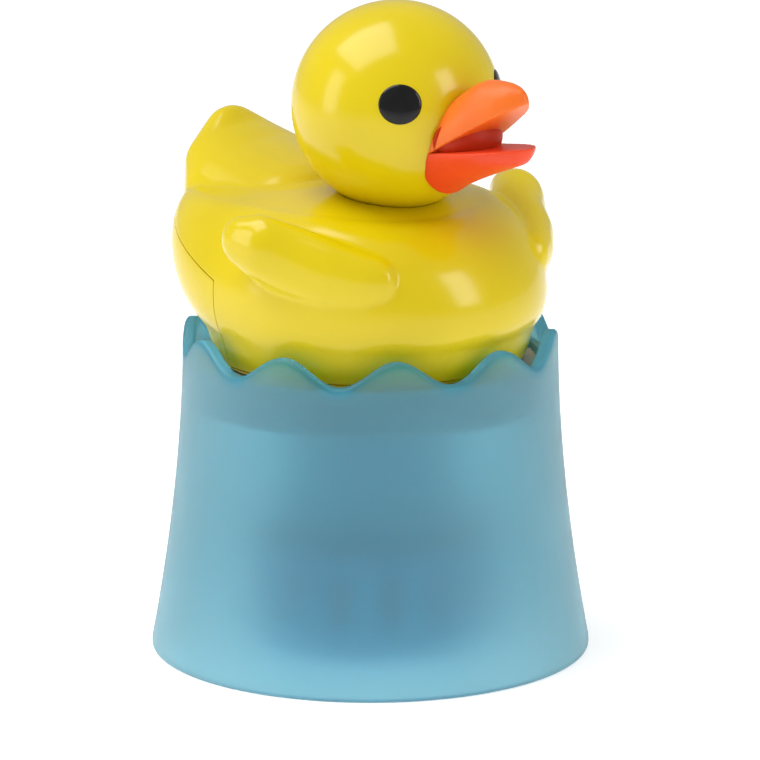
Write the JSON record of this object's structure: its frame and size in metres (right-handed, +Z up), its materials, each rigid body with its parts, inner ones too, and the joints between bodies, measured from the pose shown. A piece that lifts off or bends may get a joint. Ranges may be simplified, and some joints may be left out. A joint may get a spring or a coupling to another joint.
{
  "type": "floating chlorine dispenser",
  "caption": "Duck-shaped float on a wave-rimmed frosted skirt; it turns a dial to meter flow past tablets and lifts off to load them.",
  "frame": {"origin": "centre of the skirt's foot, on the ground plane", "axes": "+Z up along the skirt's axis and the dial's axis; the duck faces -Y, so its right side is towards -X"},
  "size_m": [0.1066, 0.1077, 0.1588],
  "materials": {
    "duck_yellow": "glossy injection-moulded ABS",
    "bill_orange": "satin moulded plastic",
    "bill_red": "satin moulded plastic",
    "eye_black": "gloss black",
    "skirt_frosted": "frosted translucent polypropylene",
    "collar_blue": "translucent polypropylene",
    "basket_blue": "moulded polypropylene",
    "tube_grey": "moulded polypropylene",
    "sleeve_natural": "natural polypropylene",
    "dial_ivory": "matte moulded plastic with ridges",
    "washer_white": "low-friction plastic",
    "plug_ivory": "moulded plastic",
    "seal_rubber": "matte rubber",
    "steel": "stainless steel"
  },
  "bodies": {
    "canister": {"wave_skirt": "skirt_frosted", "seat_collar": "collar_blue", "tablet_tube": "tube_grey", "tube_flange": "tube_grey", "basket_lid": "basket_blue", "tube_screws": "steel", "thrust_washer": "washer_white", "dosing_basket": "basket_blue", "basket_screws": "steel", "ballast_ring": "steel", "ballast_cover": "basket_blue"},
    "dial": {"dial_ring": "dial_ivory", "regulator_sleeve": "sleeve_natural", "sleeve_flange": "sleeve_natural", "sleeve_floor": "sleeve_natural", "sleeve_screws": "steel", "retaining_clip": "washer_white"},
    "duck": {"body_hull": "duck_yellow", "body_upper": "duck_yellow", "head_shell": "duck_yellow", "head_lock_ring": "plug_ivory", "eye_left": "eye_black", "eye_right": "eye_black", "upper_bill": "bill_orange", "lower_bill": "bill_red", "drive_plug": "plug_ivory", "plug_o_ring": "seal_rubber", "plug_screws": "steel"}
  },
  "joints": [
    {"name": "dial_turn", "type": "hinge", "parent": "canister", "child": "dial", "pos_m": [0, 0, 0], "axis": [0, 0, 1], "range_deg": [0, 36]},
    {"name": "duck_lift", "type": "slide", "parent": "dial", "child": "duck", "axis": [0, 0, 1], "range_m": [0, 0.08]}
  ]
}
